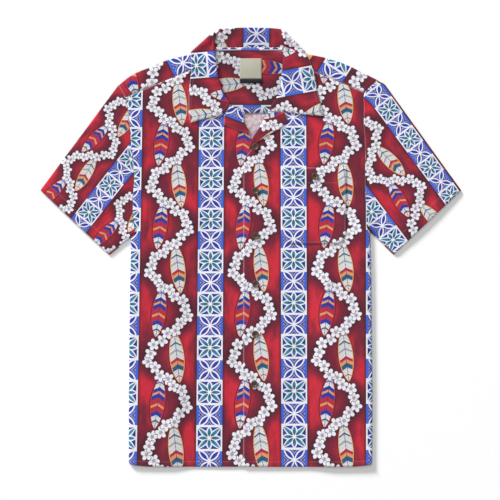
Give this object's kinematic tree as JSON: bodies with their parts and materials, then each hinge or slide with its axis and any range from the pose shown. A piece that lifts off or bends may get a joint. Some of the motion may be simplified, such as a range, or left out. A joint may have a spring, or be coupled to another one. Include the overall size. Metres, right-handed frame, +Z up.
{
  "type": "hawaiian shirt",
  "caption": "Short-sleeved printed camp-collar shirt lying flat, buttoned, face up, with its sides turned under.",
  "frame": {"origin": "middle of the bounding box on the surface that the shirt lies on", "axes": "+Y from hem to collar, +X to the wearer's left, +Z up from the surface"},
  "size_m": [0.7359, 0.768, 0.009],
  "materials": {
    "printed_cotton": "plain-woven cotton printed in dark red with blue and white borders and white flowers, matt, soft",
    "label_cloth": "cream woven label, bare",
    "tab_cloth": "black woven tab, bare",
    "coconut_shell": "turned coconut shell, dark brown, low gloss"
  },
  "bodies": {
    "root": {"back": "printed_cotton", "yoke_outer": "printed_cotton", "yoke_inner": "printed_cotton", "front_left": "printed_cotton", "front_right": "printed_cotton", "lapel_left": "printed_cotton", "lapel_right": "printed_cotton", "collar": "printed_cotton", "neck_binding": "printed_cotton", "sleeve_left": "printed_cotton", "sleeve_right": "printed_cotton", "pocket": "printed_cotton", "neck_label": "label_cloth", "size_tab": "tab_cloth", "button_1": "coconut_shell", "button_2": "coconut_shell", "button_3": "coconut_shell", "button_4": "coconut_shell", "button_5": "coconut_shell", "button_6": "coconut_shell", "pocket_button": "coconut_shell"}
  },
  "joints": []
}
